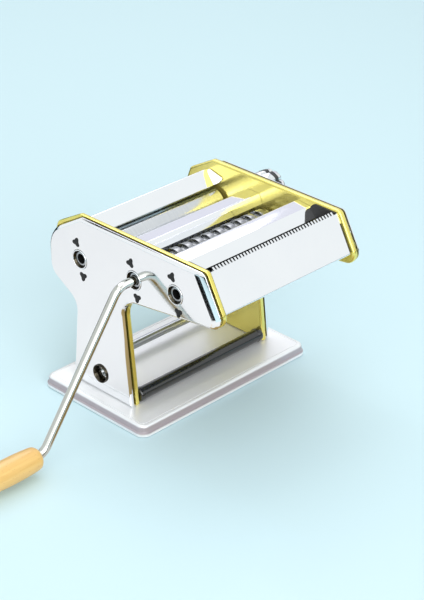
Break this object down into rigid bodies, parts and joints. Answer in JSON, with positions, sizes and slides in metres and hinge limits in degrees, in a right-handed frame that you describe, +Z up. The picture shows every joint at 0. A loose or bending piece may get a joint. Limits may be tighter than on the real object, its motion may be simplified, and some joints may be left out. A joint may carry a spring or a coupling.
{
  "type": "pasta roller machine",
  "caption": "Hand-cranked pasta machine: smooth sheet rollers with a thickness knob, a wide and a fine cutter pair, chromed side covers on a tray and a lift-out crank.",
  "frame": {"origin": "middle of the bounding box, crank included, on the surface that the feet stand on", "axes": "+X along the rollers from the crank to the thickness knob, -Y the front where the noodles come out, +Z up"},
  "size_m": [0.3878, 0.2076, 0.175],
  "materials": {
    "chrome": "polished chrome plate on pressed steel",
    "gold": "gold-coloured lacquered steel",
    "roller": "polished rollers",
    "cutter": "turned cutter rollers",
    "steel": "plain zinc-plated steel",
    "brass": "turned bush",
    "black": "gloss black",
    "rubber": "moulded rubber",
    "wood": "lacquered beech",
    "knob": "chromed moulded plastic"
  },
  "bodies": {
    "root": {"base_tray": "chrome", "foot_front_left": "rubber", "foot_front_right": "rubber", "foot_rear_left": "rubber", "foot_rear_right": "rubber", "left_frame": "gold", "left_cover": "chrome", "right_frame": "gold", "right_cover": "chrome", "rear_upper_tie_rod": "steel", "rear_lower_tie_rod": "steel", "front_foot_bar": "black", "rear_socket_bush": "chrome", "rear_drive_bush": "brass", "middle_socket_bush": "chrome", "middle_drive_bush": "brass", "front_socket_bush": "chrome", "front_drive_bush": "brass", "wide_mate_bush_left": "brass", "wide_mate_bush_right": "brass", "fine_mate_bush_left": "brass", "fine_mate_bush_right": "brass", "wide_rear_scraper": "steel", "wide_front_scraper": "steel", "fine_rear_scraper": "steel", "fine_front_scraper": "steel", "sheet_rear_scraper": "steel", "sheet_front_scraper": "steel", "rear_cover": "chrome", "middle_cover": "chrome", "centre_cover": "chrome", "front_panel": "chrome", "front_comb": "chrome", "regulator_dial": "chrome", "clamp_eyelet": "chrome"},
    "sheet_drive": {"sheet_drive_roller": "roller", "rear_crank_socket": "steel", "sheet_drive_gear": "steel"},
    "carriage": {"bearing_block_left": "steel", "bearing_block_right": "steel"},
    "sheet_mate": {"sheet_adjustable_roller": "roller", "sheet_mate_gear": "steel"},
    "wide_drive": {"wide_drive_cutter": "cutter", "middle_crank_socket": "steel", "wide_drive_gear": "steel"},
    "wide_mate": {"wide_mate_cutter": "cutter", "wide_mate_gear": "steel"},
    "fine_drive": {"fine_drive_cutter": "cutter", "front_crank_socket": "steel", "fine_drive_gear": "steel"},
    "fine_mate": {"fine_mate_cutter": "cutter", "fine_mate_gear": "steel"},
    "regulator": {"regulator_shaft": "steel", "thickness_cam_left": "brass", "thickness_cam_right": "brass"},
    "knob": {"regulator_knob": "knob"},
    "crank": {"crank_rod": "chrome", "grip_cap_nut": "chrome"},
    "grip": {"crank_grip": "wood"}
  },
  "joints": [
    {"name": "sheet_drive_spin", "type": "hinge", "parent": "root", "child": "sheet_drive", "pos_m": [0.08586, 0.06347, 0.1353], "axis": [1, 0, 0], "continuous": true},
    {"name": "carriage_slide", "type": "slide", "parent": "root", "child": "carriage", "axis": [0, 1, 0], "range_m": [0, 0.00251]},
    {"name": "sheet_mate_spin", "type": "hinge", "parent": "carriage", "child": "sheet_mate", "pos_m": [0.08586, 0.03055, 0.1375], "axis": [1, 0, 0], "continuous": true},
    {"name": "wide_drive_spin", "type": "hinge", "parent": "root", "child": "wide_drive", "pos_m": [0.08586, -0.00463, 0.1401], "axis": [1, 0, 0], "continuous": true},
    {"name": "wide_mate_spin", "type": "hinge", "parent": "root", "child": "wide_mate", "pos_m": [0.08586, -0.02882, 0.1369], "axis": [1, 0, 0], "continuous": true},
    {"name": "fine_drive_spin", "type": "hinge", "parent": "root", "child": "fine_drive", "pos_m": [0.08586, -0.05423, 0.1453], "axis": [1, 0, 0], "continuous": true},
    {"name": "fine_mate_spin", "type": "hinge", "parent": "root", "child": "fine_mate", "pos_m": [0.08586, -0.07762, 0.1484], "axis": [1, 0, 0], "continuous": true},
    {"name": "knob_turn", "type": "hinge", "parent": "root", "child": "regulator", "pos_m": [0.08586, 0.01937, 0.155], "axis": [1, 0, 0], "range_deg": [0, 240]},
    {"name": "knob_pull", "type": "slide", "parent": "regulator", "child": "knob", "axis": [1, 0, 0], "range_m": [0, 0.004], "stiffness_N_per_m": 900},
    {"name": "crank_pull", "type": "slide", "parent": "wide_drive", "child": "crank", "axis": [-1, 0, 0], "range_m": [0, 0.025]},
    {"name": "grip_spin", "type": "hinge", "parent": "crank", "child": "grip", "pos_m": [-0.15106, -0.00463, 0.0161], "axis": [1, 0, 0], "continuous": true}
  ],
  "couplings": [
    {"joint": "knob_turn", "follows": "carriage_slide", "rad_per_m": 1671.5},
    {"joint": "sheet_mate_spin", "follows": "sheet_drive_spin", "ratio": -1},
    {"joint": "wide_mate_spin", "follows": "wide_drive_spin", "ratio": -1},
    {"joint": "fine_mate_spin", "follows": "fine_drive_spin", "ratio": -1}
  ]
}
